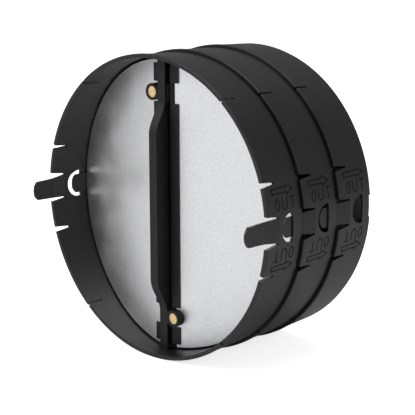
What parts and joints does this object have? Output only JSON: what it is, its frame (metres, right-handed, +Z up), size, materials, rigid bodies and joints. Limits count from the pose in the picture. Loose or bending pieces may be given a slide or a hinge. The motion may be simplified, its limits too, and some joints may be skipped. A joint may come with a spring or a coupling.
{
  "type": "duct damper",
  "caption": "Round insert for a duct, with stages of rings clipped end to end; each stage has an upright spine and a pair of half-disc flaps that open to the rear and are held shut by magnets.",
  "frame": {"origin": "centre of the front ring's rim plane, on the duct's axis", "axes": "+Y along the duct, the way the air flows and the flaps open; +Z up along the spine; +X to the right seen from the front"},
  "size_m": [0.1492, 0.0907, 0.15],
  "materials": {
    "ring": "satin black moulded plastic",
    "spine": "satin black moulded plastic",
    "grip": "satin black moulded plastic",
    "flap": "satin sheet, fine grain",
    "pin": "drawn steel rod",
    "magnet": "plated disc, satin"
  },
  "bodies": {
    "frame": {"front_ring": "ring", "middle_ring": "ring", "rear_ring": "ring", "front_spine": "spine", "middle_spine": "spine", "rear_spine": "spine", "front_left_hinge_pin": "pin", "front_right_hinge_pin": "pin", "middle_left_hinge_pin": "pin", "middle_right_hinge_pin": "pin", "rear_left_hinge_pin": "pin", "rear_right_hinge_pin": "pin", "front_upper_magnet": "magnet", "front_lower_magnet": "magnet", "middle_upper_magnet": "magnet", "middle_lower_magnet": "magnet", "rear_upper_magnet": "magnet", "rear_lower_magnet": "magnet"},
    "front_left_leaf": {"front_left_flap": "flap", "front_left_hinge_grip": "grip"},
    "front_right_leaf": {"front_right_flap": "flap", "front_right_hinge_grip": "grip"},
    "middle_left_leaf": {"middle_left_flap": "flap", "middle_left_hinge_grip": "grip"},
    "middle_right_leaf": {"middle_right_flap": "flap", "middle_right_hinge_grip": "grip"},
    "rear_left_leaf": {"rear_left_flap": "flap", "rear_left_hinge_grip": "grip"},
    "rear_right_leaf": {"rear_right_flap": "flap", "rear_right_hinge_grip": "grip"}
  },
  "joints": [
    {"name": "front_left_swing", "type": "hinge", "parent": "frame", "child": "front_left_leaf", "pos_m": [-0.0034, 0.012, 0], "axis": [0, 0, -1], "range_deg": [0, 55]},
    {"name": "front_right_swing", "type": "hinge", "parent": "frame", "child": "front_right_leaf", "pos_m": [0.0034, 0.012, 0], "axis": [0, 0, 1], "range_deg": [0, 55]},
    {"name": "middle_left_swing", "type": "hinge", "parent": "frame", "child": "middle_left_leaf", "pos_m": [-0.0034, 0.0378, 0], "axis": [0, 0, -1], "range_deg": [0, 55]},
    {"name": "middle_right_swing", "type": "hinge", "parent": "frame", "child": "middle_right_leaf", "pos_m": [0.0034, 0.0378, 0], "axis": [0, 0, 1], "range_deg": [0, 55]},
    {"name": "rear_left_swing", "type": "hinge", "parent": "frame", "child": "rear_left_leaf", "pos_m": [-0.0034, 0.0636, 0], "axis": [0, 0, -1], "range_deg": [0, 55]},
    {"name": "rear_right_swing", "type": "hinge", "parent": "frame", "child": "rear_right_leaf", "pos_m": [0.0034, 0.0636, 0], "axis": [0, 0, 1], "range_deg": [0, 55]}
  ],
  "couplings": [
    {"joint": "middle_left_swing", "follows": "front_left_swing", "ratio": 1},
    {"joint": "middle_right_swing", "follows": "front_right_swing", "ratio": 1},
    {"joint": "rear_left_swing", "follows": "front_left_swing", "ratio": 1},
    {"joint": "rear_right_swing", "follows": "front_right_swing", "ratio": 1}
  ]
}
